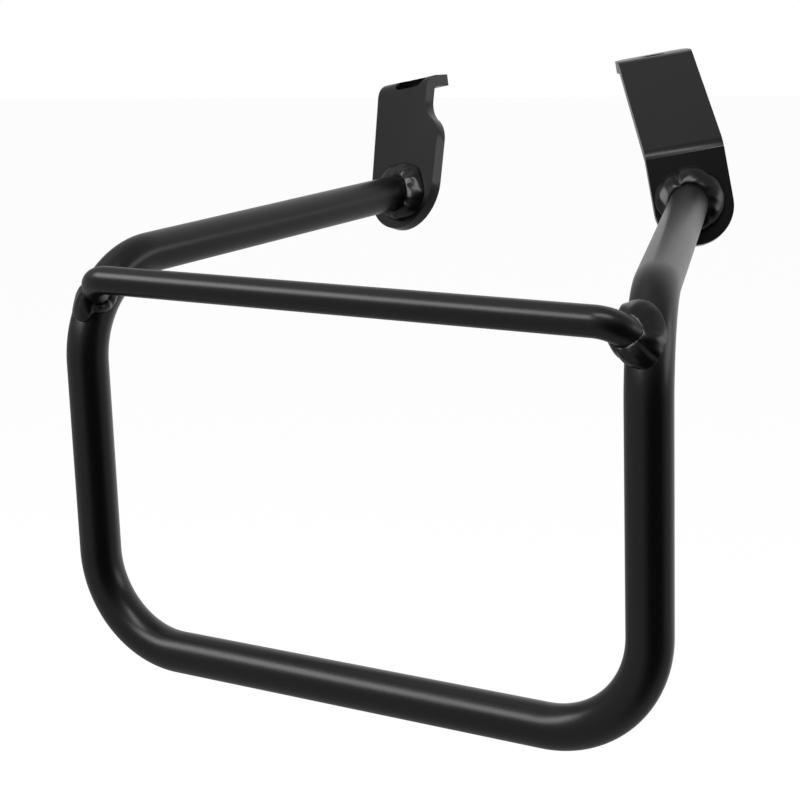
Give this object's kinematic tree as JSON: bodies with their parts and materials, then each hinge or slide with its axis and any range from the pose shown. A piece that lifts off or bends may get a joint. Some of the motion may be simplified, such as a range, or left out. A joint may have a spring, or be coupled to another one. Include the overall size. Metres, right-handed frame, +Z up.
{
  "type": "side case rack",
  "caption": "Bent steel tube loop with a crossbar and two bracket plates, bolted to a motorbike's side to hold a pannier off the wheel.",
  "frame": {"origin": "middle of the bottom rail, on its centre line", "axes": "+X along the bottom rail, +Z up, +Y from the loop along the arms towards the bike"},
  "size_m": [0.2779, 0.3016, 0.2588],
  "materials": {
    "black_powder_coat": "semi-gloss black powder coat over steel, on tube, bar, plates and welds alike"
  },
  "bodies": {
    "root": {"main_tube": "black_powder_coat", "crossbar": "black_powder_coat", "left_bracket": "black_powder_coat", "right_bracket": "black_powder_coat", "left_bracket_weld": "black_powder_coat", "right_bracket_weld": "black_powder_coat", "left_crossbar_weld": "black_powder_coat", "right_crossbar_weld": "black_powder_coat"}
  },
  "joints": []
}
